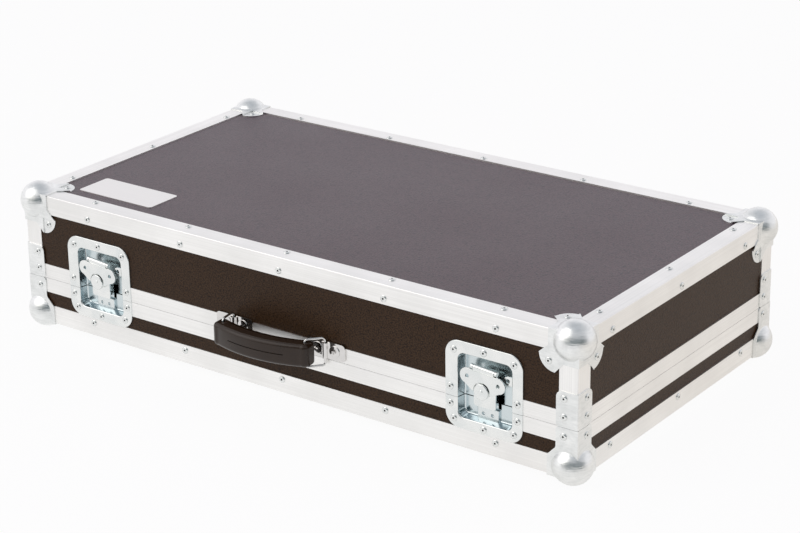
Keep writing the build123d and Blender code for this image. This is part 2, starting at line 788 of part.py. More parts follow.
def wire_loop(inner, outer):
    """A closed ring of round wire between two upright legs, given in X and distance out."""
    a = (inner[0], -half_depth - inner[1])
    b = (outer[0], -half_depth - outer[1])
    rise = loop_height / 2
    path = FilletPolyline((a[0], a[1], 0), (a[0], a[1], rise), (b[0], b[1], rise), (b[0], b[1], 0),
                          radius=wire_bend)
    half = sweep(Plane(origin=(a[0], a[1], 0), z_dir=(0, 0, 1)) * Circle(wire_radius), path=path)
    return Pos(0, 0, handle_z - grip_drop) * (half + mirror(half, about=Plane.XY))


def bow_arc(offset, half_span):
    """A line along the grip that follows its bow, at a distance from the middle line."""
    return ThreePointArc((-half_span, offset), (0, offset + grip_bow), (half_span, offset))


def groove(offset, half_span, width, height):
    """Space of a groove that follows the grip's bow, at a distance from its middle line."""
    rise = grip_bow - grip_bow * (half_span / (grip_length / 2 - grip_end_round)) ** 2
    path = ThreePointArc((-half_span, offset + rise), (0, offset + grip_bow), (half_span, offset + rise))
    start = Plane(origin=(-half_span, offset + rise, 0), z_dir=path % 0)
    return sweep(start * Rectangle(width, height), path=path)


def grip():
    """Bowed moulded grip with a channel along its top and bottom, a slit along its front and an eye at each end."""
    end = grip_length / 2
    half = grip_depth / 2
    shoulder = end - grip_end_round
    outline = make_face(Polyline((-shoulder, -half), (-end, -half), (-end, half), (-shoulder, half))
                        + bow_arc(half, shoulder)
                        + Polyline((shoulder, half), (end, half), (end, -half), (shoulder, -half))
                        + ThreePointArc((shoulder, -half), (0, -half + grip_bow), (-shoulder, -half)))
    outline = fillet([v for v in outline.vertices() if abs(v.X) > end - 1], grip_end_round - 1)
    body = extrude(Pos(0, 0, -grip_height / 2) * outline, amount=grip_height, dir=(0, 0, 1))
    body = fillet(body.faces().filter_by(Axis.Z).edges(), grip_edge_round)
    hole = wire_radius + grip_hole_play
    channel = groove(channel_from_back - half, grip_hole_spread / 2 - channel_margin, channel_width,
                     2 * channel_depth)
    for side in (-1, 1):
        body -= Pos(side * grip_hole_spread / 2, 0, 0) * Cylinder(hole, grip_height)
        body -= Pos(0, 0, side * grip_height / 2) * channel
    return body - groove(half, slit_length / 2, 2 * slit_depth, slit_height)


def handle():
    near, far = handle_rest()
    tilt = degrees(atan2(far[1] - near[1], far[0] - near[0]))
    middle = ((near[0] + far[0]) / 2, (near[1] + far[1]) / 2)
    place = Pos(middle[0], -half_depth - middle[1], handle_z - grip_drop) * Rot(0, 0, -tilt)
    nodes["handle_grip"] = place * mirror(grip(), about=Plane.XZ)
    nodes["handle_loop_left"] = wire_loop((-handle_spread / 2, loop_out), near)
    nodes["handle_loop_right"] = wire_loop((handle_spread / 2, loop_out), far)
    plates = []
    screws = []
    for side in (-1, 1):
        x = side * handle_spread / 2
        plates.append(Pos(x, -half_depth, handle_z) * staple())
        for end in (-1, 1):
            seat = Plane(origin=(x + end * screw_spread / 2, -half_depth - staple_plate - seat_rise, handle_z),
                         z_dir=(0, -1, 0))
            head = Cylinder(screw_radius, screw_height, align=(Align.CENTER, Align.CENTER, Align.MIN))
            head = fillet(head.edges().filter_by(GeomType.CIRCLE).sort_by(Axis.Z)[-1:], screw_round)
            screws.append(seat * head)
    nodes["handle_staples"] = Compound(children=plates)
    nodes["handle_screws"] = Compound(children=screws)


# Hinges, drawn round the pin's middle with X along the pin

def knuckles(first, up):
    """Every second knuckle along the pin, each with a root on its own leaf's side of the parting."""
    pitch = hinge_width / knuckle_count
    low = 0 if up else -knuckle_radius
    found = None
    for i in range(first, knuckle_count, 2):
        x0 = -hinge_width / 2 + i * pitch
        piece = block(x0 + knuckle_gap / 2, x0 + pitch - knuckle_gap / 2, -hinge_out, 0, low, low + knuckle_radius)
        piece += Pos(x0 + pitch / 2, 0, 0) * Rot(0, 90, 0) * Cylinder(knuckle_radius, pitch - knuckle_gap)
        found = piece if found is None else found + piece
    return found


def stop_arm(first, up):
    """Radial arm that meets the other leaf's arm when the lid is open."""
    pitch = hinge_width / knuckle_count
    start = knuckle_radius + stop_gap
    root = knuckle_radius / 2 + stop_root
    arm = block(-hinge_width / 2, hinge_width / 2, start, stop_reach, 0, stop_plate)
    for i in range(first, knuckle_count, 2):
        x0 = -hinge_width / 2 + i * pitch
        arm += block(x0 + knuckle_gap / 2, x0 + pitch - knuckle_gap / 2, root, start, 0, stop_plate)
    arm = Rot(stop_angle / 2, 0, 0) * arm
    return arm if up else mirror(arm, about=Plane.XY)


def hinge_leaf_piece(first, up):
    """A leaf on the closing profile, with its knuckles and its stop."""
    bore = pin_radius + running_clearance
    gap = knuckle_radius + knuckle_clearance
    leaf = block(-hinge_width / 2, hinge_width / 2, -hinge_out, -hinge_out + hinge_leaf,
                 leaf_gap, hinge_leaf_height + leaf_gap)
    pitch = hinge_width / knuckle_count
    for i in range(1 - first, knuckle_count, 2):
        x0 = -hinge_width / 2 + i * pitch
        leaf -= block(x0 - knuckle_gap / 2, x0 + pitch + knuckle_gap / 2, -2 * hinge_out, 0, 0, gap)
    leaf = leaf if up else mirror(leaf, about=Plane.XY)
    piece = leaf + knuckles(first, up) + stop_arm(first, up)
    return piece - Rot(0, 90, 0) * Cylinder(bore, hinge_width)


def hinges():
    base = []
    lid = []
    pins = []
    for side in (-1, 1):
        place = Pos(side * hinge_spacing / 2, half_depth + hinge_out, (parting + lid_bottom) / 2)
        base.append(place * hinge_leaf_piece(0, False))
        lid.append(place * hinge_leaf_piece(1, True))
        pins.append(place * Rot(0, 90, 0) * Cylinder(pin_radius, hinge_width))
    nodes["base_hinge_leaves"] = Compound(children=base)
    nodes["lid_hinge_leaves"] = Compound(children=lid)
    nodes["hinge_pins"] = Compound(children=pins)


# Badge plate and foam

def badge():
    x = -half_length + badge_from_left + badge_length / 2
    y = -half_depth + badge_from_front + badge_width / 2
    outline = rounded(badge_length, badge_width, badge_round)
    nodes["badge_plate"] = extrude(Pos(x, y, top - edging_wall) * outline, amount=badge_plate, dir=(0, 0, 1))


def foam():
    """A sheet in the base with a low rim, and a sheet under the top panel."""
    x = half_length - panel_inset - foam_slack
    y = half_depth - panel_inset - foam_slack
    bed = block(-x, x, -y, y, panel, panel + foam_sheet + foam_rim_height)
    bed -= block(foam_rim - x, x - foam_rim, foam_rim - y, y - foam_rim, panel + foam_sheet,
                 panel + foam_sheet + foam_rim_height)
    nodes["base_foam_bed"] = bed
    ceiling = top - edging_wall - panel
    nodes["lid_foam_pad"] = block(-x, x, -y, y, ceiling - foam_sheet, ceiling)


def main():
    panels()
    edge_angles()
    closing_profiles()
    corner_posts("base_corner_posts", bottom + edge_flange, parting - closing_height)
    corner_posts("lid_corner_posts", parting + closing_height, top - edge_flange)
    corners()
    rivets()
    latches()
    handle()
    hinges()
    badge()
    foam()
    os.makedirs("parts", exist_ok=True)
    for name, piece in nodes.items():
        export_step(piece, f"parts/{name}.step")
    print(len(nodes), "nodes")


main()
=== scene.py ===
"""A low flight case for a lighting console, put together from its plywood panels outwards to its
hardware, on a pale studio floor. Metres, +Z up, the origin under the middle of the bottom panel.
"""
import bpy
import bmesh
import math
from mathutils import Matrix, Vector


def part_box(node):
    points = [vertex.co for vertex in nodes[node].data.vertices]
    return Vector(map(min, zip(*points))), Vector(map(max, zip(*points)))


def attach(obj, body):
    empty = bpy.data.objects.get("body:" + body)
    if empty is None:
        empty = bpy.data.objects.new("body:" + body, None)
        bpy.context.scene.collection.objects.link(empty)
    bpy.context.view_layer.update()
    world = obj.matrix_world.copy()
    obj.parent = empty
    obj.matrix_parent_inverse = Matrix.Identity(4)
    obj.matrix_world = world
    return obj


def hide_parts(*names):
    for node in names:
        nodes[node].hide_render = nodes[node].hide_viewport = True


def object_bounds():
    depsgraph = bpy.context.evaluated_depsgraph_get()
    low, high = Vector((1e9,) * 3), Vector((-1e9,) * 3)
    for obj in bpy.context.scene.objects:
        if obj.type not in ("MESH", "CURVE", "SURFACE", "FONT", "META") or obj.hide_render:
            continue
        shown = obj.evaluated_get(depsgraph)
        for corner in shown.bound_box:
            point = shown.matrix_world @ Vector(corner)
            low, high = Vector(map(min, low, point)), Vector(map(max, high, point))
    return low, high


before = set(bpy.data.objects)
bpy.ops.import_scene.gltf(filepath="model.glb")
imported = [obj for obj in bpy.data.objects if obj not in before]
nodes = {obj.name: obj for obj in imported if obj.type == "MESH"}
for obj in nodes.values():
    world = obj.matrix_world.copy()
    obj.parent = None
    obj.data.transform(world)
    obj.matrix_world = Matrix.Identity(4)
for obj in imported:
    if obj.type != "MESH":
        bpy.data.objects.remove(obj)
cad_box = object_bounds()
scene = bpy.context.scene


# The studio: a long lens looks down on the case's right front corner. A wide pale floor and a white
# surround are there for the metal to mirror, and two soft lamps leave the case's shadow on the floor.
lens = 101.048
sensor_width = 36
far_limit = 60
camera_place = (1.62643, -2.19451, 1.17134)
azimuth, elevation, roll = (math.radians(a) for a in (36.318, 21.579, -0.806))

camera = bpy.data.objects.new("camera", bpy.data.cameras.new("camera"))
camera.data.sensor_width = sensor_width
camera.data.lens = lens
camera.data.clip_end = far_limit
toward = Vector((math.sin(azimuth) * math.cos(elevation), -math.cos(azimuth) * math.cos(elevation),
                 math.sin(elevation)))
aim = (-toward).to_track_quat("-Z", "Y").to_matrix().to_4x4()
camera.matrix_world = Matrix.Translation(camera_place) @ aim @ Matrix.Rotation(roll, 4, "Z")
scene.collection.objects.link(camera)
scene.camera = camera
scene.view_settings.view_transform = "Standard"


def linear(hex_colour):
    """An sRGB hex colour as the linear values that shaders take."""
    parts = [int(hex_colour[i:i + 2], 16) / 255 for i in (1, 3, 5)]
    return tuple(p / 12.92 if p <= 0.04045 else ((p + 0.055) / 1.055) ** 2.4 for p in parts) + (1.0,)


def add(tree, kind, values=None, links=None, **settings):
    """Add one node with its settings, its input values and the sockets that feed it."""
    node = tree.nodes.new(kind)
    for name, value in settings.items():
        setattr(node, name, value)
    for name, value in (values or {}).items():
        node.inputs[name].default_value = value
    for name, (source, socket) in (links or {}).items():
        tree.links.new(source.outputs[socket], node.inputs[name])
    return node


# What the metal mirrors: white walls that go grey towards the ceiling's middle, and an unlit doorway
# at the front, whose dark shape crosses the ball corners. Heights are those of a direction, 0 to 1.
white = (1.0, 1.0, 1.0, 1.0)
wall_white = (1.0, 0.99, 1.02, 1.0)
ceiling_grey = (0.50, 0.53, 0.57, 1.0)
ceiling_start, ceiling_end = 0.44, 0.95
doorway_way = (0.50, -0.87, 0.0)
doorway_edge, doorway_inside = 0.15, 0.60
doorway_top, doorway_full = 0.70, 0.36
doorway_dark = (0.035, 0.075, 0.085, 1.0)

# What lights the case all round: a little warm from the walls, a little cool from above.
fill_wall, fill_above = "#fff6ea", "#efe8ff"
fill_start, fill_end = -0.1, 0.7
fill_strength = 0.62

world = bpy.data.worlds.new("white studio")
scene.world = world
world.use_nodes = True
sky = world.node_tree
sky.nodes.clear()
rays = add(sky, "ShaderNodeLightPath")
way = add(sky, "ShaderNodeTexCoord")
split = add(sky, "ShaderNodeSeparateXYZ", links={"Vector": (way, "Generated")})
sideways = add(sky, "ShaderNodeVectorMath", {1: doorway_way}, {0: (way, "Generated")},
               operation="DOT_PRODUCT")
low_enough = add(sky, "ShaderNodeMapRange", {"From Min": doorway_top, "From Max": doorway_full},
                 {"Value": (split, "Z")})
between_posts = add(sky, "ShaderNodeMapRange", {"From Min": doorway_edge, "From Max": doorway_inside},
                    {"Value": (sideways, "Value")})
doorway = add(sky, "ShaderNodeMath", links={0: (low_enough, "Result"), 1: (between_posts, "Result")},
              operation="MULTIPLY")
high = add(sky, "ShaderNodeMapRange", {"From Min": ceiling_start, "From Max": ceiling_end},
           {"Value": (split, "Z")})
ceiling = add(sky, "ShaderNodeMixRGB", {"Color1": wall_white, "Color2": ceiling_grey},
              {"Fac": (high, "Result")})
room = add(sky, "ShaderNodeMixRGB", {"Color2": doorway_dark},
           {"Fac": (doorway, 0), "Color1": (ceiling, "Color")})
seen = add(sky, "ShaderNodeBackground", {"Color": white, "Strength": 1.0})
mirrored = add(sky, "ShaderNodeBackground", {"Strength": 1.0}, {"Color": (room, "Color")})
overhead = add(sky, "ShaderNodeMapRange", {"From Min": fill_start, "From Max": fill_end},
               {"Value": (split, "Z")})
walls = add(sky, "ShaderNodeMixRGB", {"Color1": linear(fill_wall), "Color2": linear(fill_above)},
            {"Fac": (overhead, "Result")})
fill = add(sky, "ShaderNodeBackground", {"Strength": fill_strength}, {"Color": (walls, "Color")})
shine = add(sky, "ShaderNodeMath", links={0: (rays, "Is Glossy Ray"), 1: (rays, "Is Transmission Ray")},
            operation="MAXIMUM")
lit = add(sky, "ShaderNodeMixShader", links={0: (shine, 0), 1: (fill, 0), 2: (mirrored, 0)})
whole = add(sky, "ShaderNodeMixShader", links={0: (rays, "Is Camera Ray"), 1: (lit, 0), 2: (seen, 0)})
add(sky, "ShaderNodeOutputWorld", links={"Surface": (whole, 0)})

# Each lamp's name, place, width, watts and colour, and whether polished metal mirrors it.
for name, place, width, watts, colour, in_mirrors in (
        ("key lamp", (-1.5, -2.4, 2.3), 4.0, 48, "#fffaf4", True),
        ("side lamp", (2.6, 0.3, 1.7), 2.6, 18, "#fff8f0", False)):
    lamp = bpy.data.objects.new(name, bpy.data.lights.new(name, "AREA"))
    lamp.data.shape = "DISK"
    lamp.data.size = width
    lamp.data.energy = watts
    lamp.data.color = linear(colour)[:3]
    lamp.visible_glossy = in_mirrors
    lamp.matrix_world = (Matrix.Translation(place)
                         @ Vector(place).to_track_quat("Z", "Y").to_matrix().to_4x4())
    scene.collection.objects.link(lamp)


def material(name):
    """A new node material and its main shader."""
    made = bpy.data.materials.new(name)
    made.use_nodes = True
    return made, made.node_tree, made.node_tree.nodes["Principled BSDF"]


# The floor is painted board: nearly white, and white to the lens and to mirrors, less its shadows.
# In mirrors it goes a little darker and warmer at the back right, the side away from the key lamp.
floor_reach = 9
floor_height = cad_box[0][2]
board_white = "#f2f2f2"
board_roughness = 0.9
board_gloss = 0.1
key_side = (-0.59, -0.81, 0.0)
shaded_end, lit_end = -0.35, 0.10
shaded_floor = (0.87, 0.835, 0.79, 1.0)
plain_share = 0.93

floor_mesh = bpy.data.meshes.new("floor")
floor_mesh.from_pydata([(x * floor_reach, y * floor_reach, floor_height)
                        for x, y in ((-1, -1), (1, -1), (1, 1), (-1, 1))], [], [(0, 1, 2, 3)])
floor = bpy.data.objects.new("floor", floor_mesh)
scene.collection.objects.link(floor)
board, tree, shader = material("white painted board")
shader.inputs["Base Color"].default_value = linear(board_white)
shader.inputs["Roughness"].default_value = board_roughness
shader.inputs["Specular IOR Level"].default_value = board_gloss
paths = add(tree, "ShaderNodeLightPath")
spot = add(tree, "ShaderNodeTexCoord")
forward = add(tree, "ShaderNodeVectorMath", {1: key_side}, {0: (spot, "Object")}, operation="DOT_PRODUCT")
ahead = add(tree, "ShaderNodeMapRange", {"From Min": shaded_end, "From Max": lit_end},
            {"Value": (forward, "Value")})
bounce = add(tree, "ShaderNodeMixRGB", {"Color1": shaded_floor, "Color2": white},
             {"Fac": (ahead, "Result")})
dimmer = add(tree, "ShaderNodeMixRGB", {"Color1": white},
             {"Fac": (paths, "Is Glossy Ray"), "Color2": (bounce, "Color")})
plain = add(tree, "ShaderNodeEmission", {"Strength": 1.0}, {"Color": (dimmer, "Color")})
either = add(tree, "ShaderNodeMath", links={0: (paths, "Is Camera Ray"), 1: (paths, "Is Glossy Ray")},
             operation="MAXIMUM")
share = add(tree, "ShaderNodeMath", {1: plain_share}, {0: (either, 0)}, operation="MULTIPLY")
surface = add(tree, "ShaderNodeMixShader", links={0: (share, 0), 1: (shader, 0), 2: (plain, 0)})
tree.links.new(surface.outputs[0], tree.nodes["Material Output"].inputs["Surface"])
floor.data.materials.append(board)


# Panels: 7 mm birch plywood faced on both sides with a dark brown phenolic film, held by the riveted
# edging all round. Four walls and a bottom make the base, four walls and a top the lid.

# Phenolic film, hot pressed with a pebble grain: nearly black brown, half dull. Each pebble is painted
# lighter at its crown and darker at its seams, as painted highlight and painted shade. The lid's top
# has its own copy, painted a greyer violet with a violet sheen, as painted reflection of the bright room
# at a low angle. The real pebbles are 1 mm apart, and are drawn at 1.9 mm so that they show. The marks
# of handling are about 140 mm across.
pebble = 0.0019
pebble_relief = 0.0004
pebble_strength = 0.55
handling_per_metre = 7.0
film_smooth, film_dull = 0.32, 0.42
painted_sheen_violet = "#c9b8e6"
films = {}

# The second film is the lid's top: its greyer violet colours and violet sheen are painted reflection.
for name, crown_painted_highlight, seam_painted_shade, gloss, painted_sheen_weight in (
        ("phenolic laminate", "#44311e", "#1b0f06", 0.15, 0.0),
        ("phenolic laminate with painted violet sheen", "#533a3b", "#110705", 0.47, 0.10)):
    films[name], tree, shader = material(name)
    place = add(tree, "ShaderNodeTexCoord")
    grain = add(tree, "ShaderNodeTexVoronoi", {"Scale": 1 / pebble, "Randomness": 0.9},
                {"Vector": (place, "Object")})
    marks = add(tree, "ShaderNodeTexNoise", {"Scale": handling_per_metre, "Detail": 4.0, "Roughness": 0.6},
                {"Vector": (place, "Object")})
    pebble_light_and_shade = add(tree, "ShaderNodeMapRange", {"From Min": 0.1, "From Max": 0.9},
                  {"Value": (grain, "Distance")})
    # Each pebble is painted lighter at its crown as painted highlight, and darker at its seams as painted
    # shade.
    tint = add(tree, "ShaderNodeMixRGB", {"Color1": linear(crown_painted_highlight), "Color2": linear(seam_painted_shade)},
               {"Fac": (pebble_light_and_shade, "Result")})
    tree.links.new(tint.outputs[0], shader.inputs["Base Color"])
    shader.inputs["Specular IOR Level"].default_value = gloss
    shader.inputs["Sheen Weight"].default_value = painted_sheen_weight
    shader.inputs["Sheen Tint"].default_value = linear(painted_sheen_violet)
    dull = add(tree, "ShaderNodeMapRange", {"To Min": film_smooth, "To Max": film_dull},
               {"Value": (marks, "Fac")})
    tree.links.new(dull.outputs[0], shader.inputs["Roughness"])
    relief = add(tree, "ShaderNodeBump", {"Strength": pebble_strength, "Distance": pebble_relief},
                 {"Height": (grain, "Distance")})
    tree.links.new(relief.outputs[0], shader.inputs["Normal"])

weld = 0.000002
crease_angle = math.radians(28)

smooth_faces = bpy.data.node_groups.new("smooth faces", "GeometryNodeTree")
smooth_faces.interface.new_socket("Geometry", in_out="INPUT", socket_type="NodeSocketGeometry")
smooth_faces.interface.new_socket("Geometry", in_out="OUTPUT", socket_type="NodeSocketGeometry")
start = add(smooth_faces, "NodeGroupInput")
plain_normals = add(smooth_faces, "GeometryNodeRemoveAttribute", {"Name": "custom_normal"},
                    {"Geometry": (start, "Geometry")})
joined = add(smooth_faces, "GeometryNodeMergeByDistance", {"Distance": weld},
             {"Geometry": (plain_normals, "Geometry")})
rounded = add(smooth_faces, "GeometryNodeSetShadeSmooth", {"Shade Smooth": True},
              {"Geometry": (joined, "Geometry")}, domain="FACE")
bend = add(smooth_faces, "GeometryNodeInputMeshEdgeAngle")
sharp = add(smooth_faces, "FunctionNodeCompare", {"B": crease_angle}, {"A": (bend, "Unsigned Angle")},
            operation="GREATER_THAN")
creased = add(smooth_faces, "GeometryNodeSetShadeSmooth", {"Shade Smooth": False},
              {"Geometry": (rounded, "Geometry"), "Selection": (sharp, "Result")}, domain="EDGE")
add(smooth_faces, "NodeGroupOutput", links={"Geometry": (creased, "Geometry")})


def dress(node, finish):
    """Give a rigid piece its material, and join its triangles into smooth faces with crisp edges."""
    piece = nodes[node]
    piece.data.materials.clear()
    piece.data.materials.append(finish)
    smoothing = piece.modifiers.new("smooth faces", "NODES")
    smoothing.node_group = smooth_faces


for node in nodes:
    if node == "lid_top_panel":
        dress(node, films["phenolic laminate with painted violet sheen"])
    elif node.endswith("_panel"):
        dress(node, films["phenolic laminate"])


# Edging: aluminium extrusion, cut to length and riveted on. An angle runs along every outer edge, a
# tongued section round the base's rim, a grooved one round the lid's, and a short angle in each corner.

# Extruded aluminium, mill finish: pale and silky, with die lines along its length that spread each
# reflection across them. The real lines are some tenths of a millimetre wide, and are drawn at 1.1 mm
# so that they show. Hand marks about 70 mm across leave it a little cloudy.
die_line = 0.0011
line_length = 0.35
line_relief = 0.0002
line_strength = 0.10
marks_per_metre = 14.0
aluminium_bright, aluminium_worn = "#faf9f7", "#ecebe9"
aluminium_smooth, aluminium_dull = 0.30, 0.44

for name, along, members in (
        ("aluminium drawn along X", (1, 0, 0),
         ("_edge_front", "_edge_back", "_closing_front", "_closing_back")),
        ("aluminium drawn along Y", (0, 1, 0),
         ("_edge_left", "_edge_right", "_closing_left", "_closing_right")),
        ("aluminium drawn along Z", (0, 0, 1), ("_corner_posts",))):
    drawn, tree, shader = material(name)
    shader.inputs["Metallic"].default_value = 1.0
    place = add(tree, "ShaderNodeTexCoord")
    stretch = [1 / line_length if a else 1 / die_line for a in along]
    run = add(tree, "ShaderNodeMapping", {"Scale": stretch}, {"Vector": (place, "Object")})
    lines = add(tree, "ShaderNodeTexNoise", {"Scale": 1.0, "Detail": 3.0, "Roughness": 0.65},
                {"Vector": (run, "Vector")})
    marks = add(tree, "ShaderNodeTexNoise", {"Scale": marks_per_metre, "Detail": 4.0},
                {"Vector": (place, "Object")})
    both = add(tree, "ShaderNodeMath", links={0: (lines, "Fac"), 1: (marks, "Fac")}, operation="MULTIPLY")
    tint = add(tree, "ShaderNodeMapRange", {"From Min": 0.12, "From Max": 0.40}, {"Value": (both, 0)})
    metal = add(tree, "ShaderNodeMixRGB",
                {"Color1": linear(aluminium_worn), "Color2": linear(aluminium_bright)}, {"Fac": (tint, 0)})
    tree.links.new(metal.outputs[0], shader.inputs["Base Color"])
    dull = add(tree, "ShaderNodeMapRange", {"To Min": aluminium_dull, "To Max": aluminium_smooth},
               {"Value": (lines, "Fac")})
    tree.links.new(dull.outputs[0], shader.inputs["Roughness"])
    relief = add(tree, "ShaderNodeBump", {"Strength": line_strength, "Distance": line_relief},
                 {"Height": (lines, "Fac")})
    tree.links.new(relief.outputs[0], shader.inputs["Normal"])
    for node in nodes:
        if node.endswith(members):
            dress(node, drawn)


# Ball corners: pressed 1.2 mm steel, zinc plated, riveted over the edging. Base corners flare into an
# upright leg, lid corners spread into three round lobes, and a brace laps the lid's post below them.

# Zinc plated steel, pressed and tumbled: light grey, softly clouded and crossed by faint streaks.
# The clouds are 22 mm across. The streaks are finer on the real one, and are drawn at 2.2 mm.
cloud_size = 0.022
streak_width = 0.0022
streaks_per_metre = 90.0
streak_turn = (0.3, 0.5, 0.0)
streak_relief = 0.0006
streak_strength = 0.6
streak_dark, streak_light = 0.93, 1.0
zinc_grey, zinc_light = "#e6e8e7", "#f4f5f4"
zinc_smooth, zinc_dull = 0.31, 0.38

zinc, tree, shader = material("zinc plated steel")
shader.inputs["Metallic"].default_value = 1.0
place = add(tree, "ShaderNodeTexCoord")
patches = add(tree, "ShaderNodeTexNoise",
              {"Scale": 1 / cloud_size, "Detail": 5.0, "Roughness": 0.6, "Distortion": 0.8},
              {"Vector": (place, "Object")})
brushing = add(tree, "ShaderNodeMapping",
               {"Rotation": streak_turn, "Scale": (streaks_per_metre, streaks_per_metre, 1 / streak_width)},
               {"Vector": (place, "Object")})
fine = add(tree, "ShaderNodeTexNoise", {"Scale": 1.0, "Detail": 3.0}, {"Vector": (brushing, "Vector")})
tint = add(tree, "ShaderNodeMapRange", {"From Min": 0.35, "From Max": 0.65}, {"Value": (patches, "Fac")})
metal = add(tree, "ShaderNodeMixRGB", {"Color1": linear(zinc_grey), "Color2": linear(zinc_light)},
            {"Fac": (tint, 0)})
streak = add(tree, "ShaderNodeMapRange",
             {"From Min": 0.35, "From Max": 0.65, "To Min": streak_dark, "To Max": streak_light},
             {"Value": (fine, "Fac")})
streaked = add(tree, "ShaderNodeVectorMath", links={0: (metal, "Color"), "Scale": (streak, 0)},
               operation="SCALE")
tree.links.new(streaked.outputs[0], shader.inputs["Base Color"])
dull = add(tree, "ShaderNodeMapRange",
           {"From Min": 0.3, "From Max": 0.7, "To Min": zinc_dull, "To Max": zinc_smooth},
           {"Value": (patches, "Fac")})
tree.links.new(dull.outputs[0], shader.inputs["Roughness"])
relief = add(tree, "ShaderNodeBump", {"Strength": streak_strength, "Distance": streak_relief},
             {"Height": (fine, "Fac")})
tree.links.new(relief.outputs[0], shader.inputs["Normal"])

for node in nodes:
    if node.startswith(("base_corner_", "lid_corner_")) and not node.endswith("_posts"):
        dress(node, zinc)


# Latches: butterfly twist latches in pressed steel dishes, riveted in. A wing folds down round the
# hub's disc; turned half round, the hub's eccentric lets the hook down off the keeper.

# Bright zinc with a blue passivation: smoother and cooler than the corners. The floor and the steep walls
# of the well are painted darker and bluer than the rim, as painted shade and painted reflection of the
# blue zinc in the recess. Depths are places along Y. The patches are 22 mm across, and the pitting is drawn
# 1.1 mm wide, as it shows.
patches_per_metre = 45.0
pits_per_metre = 900.0
pit_relief = 0.0002
pit_strength = 0.05
blue_zinc_grey, blue_zinc_light = "#e2e5e4", "#ecedeb"
blue_zinc_smooth, blue_zinc_dull = 0.15, 0.23
# The well's floor and walls are painted darker and bluer: painted shade and painted reflection.
well_floor_painted_shade, well_floor_shade_start, well_floor_shade_full = "#d0d9db", -0.2262, -0.2212
well_wall_painted_shade, well_wall_shade_start, well_wall_shade_full = "#cbd6da", -0.2334, -0.2318
rim_facing, wall_facing = 0.85, 0.35

bright_zinc, tree, shader = material("blue bright zinc")
shader.inputs["Metallic"].default_value = 1.0
place = add(tree, "ShaderNodeTexCoord")
patches = add(tree, "ShaderNodeTexNoise",
              {"Scale": patches_per_metre, "Detail": 4.0, "Roughness": 0.55, "Distortion": 0.6},
              {"Vector": (place, "Object")})
pits = add(tree, "ShaderNodeTexNoise", {"Scale": pits_per_metre, "Detail": 2.0},
           {"Vector": (place, "Object")})
tint = add(tree, "ShaderNodeMapRange", {"From Min": 0.35, "From Max": 0.65}, {"Value": (patches, "Fac")})
metal = add(tree, "ShaderNodeMixRGB", {"Color1": linear(blue_zinc_grey), "Color2": linear(blue_zinc_light)},
            {"Fac": (tint, 0)})
spot = add(tree, "ShaderNodeSeparateXYZ", links={"Vector": (place, "Object")})
# The floor, deep in the well, takes painted shade.
sunk_shade = add(tree, "ShaderNodeMapRange", {"From Min": well_floor_shade_start, "From Max": well_floor_shade_full},
           {"Value": (spot, "Y")})
blue = add(tree, "ShaderNodeMixRGB", {"Color2": linear(well_floor_painted_shade)},
           {"Fac": (sunk_shade, "Result"), "Color1": (metal, "Color")})
# The steep walls, from just behind the rim, take painted shade too.
sides = add(tree, "ShaderNodeSeparateXYZ", links={"Vector": (place, "Normal")})
facing = add(tree, "ShaderNodeMath", links={0: (sides, "Y")}, operation="ABSOLUTE")
steep = add(tree, "ShaderNodeMapRange", {"From Min": rim_facing, "From Max": wall_facing},
            {"Value": (facing, 0)})
behind = add(tree, "ShaderNodeMapRange", {"From Min": well_wall_shade_start, "From Max": well_wall_shade_full},
             {"Value": (spot, "Y")})
wall = add(tree, "ShaderNodeMath", links={0: (steep, 0), 1: (behind, 0)}, operation="MULTIPLY")
well_shaded = add(tree, "ShaderNodeMixRGB", {"Color2": linear(well_wall_painted_shade)},
           {"Fac": (wall, 0), "Color1": (blue, "Color")})
tree.links.new(well_shaded.outputs[0], shader.inputs["Base Color"])
dull = add(tree, "ShaderNodeMapRange",
           {"From Min": 0.3, "From Max": 0.7, "To Min": blue_zinc_dull, "To Max": blue_zinc_smooth},
           {"Value": (patches, "Fac")})
tree.links.new(dull.outputs[0], shader.inputs["Roughness"])
relief = add(tree, "ShaderNodeBump", {"Strength": pit_strength, "Distance": pit_relief},
             {"Height": (pits, "Fac")})
tree.links.new(relief.outputs[0], shader.inputs["Normal"])

for node in nodes:
    if node.startswith("latch_"):
        dress(node, bright_zinc)


# Blind rivets: steel, zinc plated, with a low domed head 9 mm across and the broken end of the
# mandrel left in its hole. They hold every edging, corner, latch dish and hinge leaf.
# The profile runs from the mandrel's end, out over the dome and down to the sheet, in shares of the
# head's radius and height. Its first part, up to hole_share of the way, is the mandrel and the hole.
head_radius = 0.0046
head_height = 0.0014
profile_radius = (0.0, 0.13, 0.15, 0.24, 0.26, 0.32, 0.55, 0.76, 0.93, 1.0, 0.99)
profile_height = (0.30, 0.28, 0.0, 0.0, 0.85, 0.98, 1.0, 0.88, 0.58, 0.18, 0.0)
hole_share = 0.4
turns = 28
head_weld = 0.000005

# Bright zinc, set by the riveter's nose: shinier than the sheet round it. Patches 8 mm across give
# each head its own grey.
rivet_patches_per_metre = 120.0
rivet_grey, rivet_light = "#d4d7d6", "#eeefed"
rivet_roughness = 0.22

rivet_zinc, tree, shader = material("bright zinc on rivets")
shader.inputs["Metallic"].default_value = 1.0
shader.inputs["Roughness"].default_value = rivet_roughness
place = add(tree, "ShaderNodeTexCoord")
patches = add(tree, "ShaderNodeTexNoise", {"Scale": rivet_patches_per_metre, "Detail": 3.0},
              {"Vector": (place, "Object")})
metal = add(tree, "ShaderNodeMixRGB", {"Color1": linear(rivet_grey), "Color2": linear(rivet_light)},
            {"Fac": (patches, "Fac")})
tree.links.new(metal.outputs[0], shader.inputs["Base Color"])

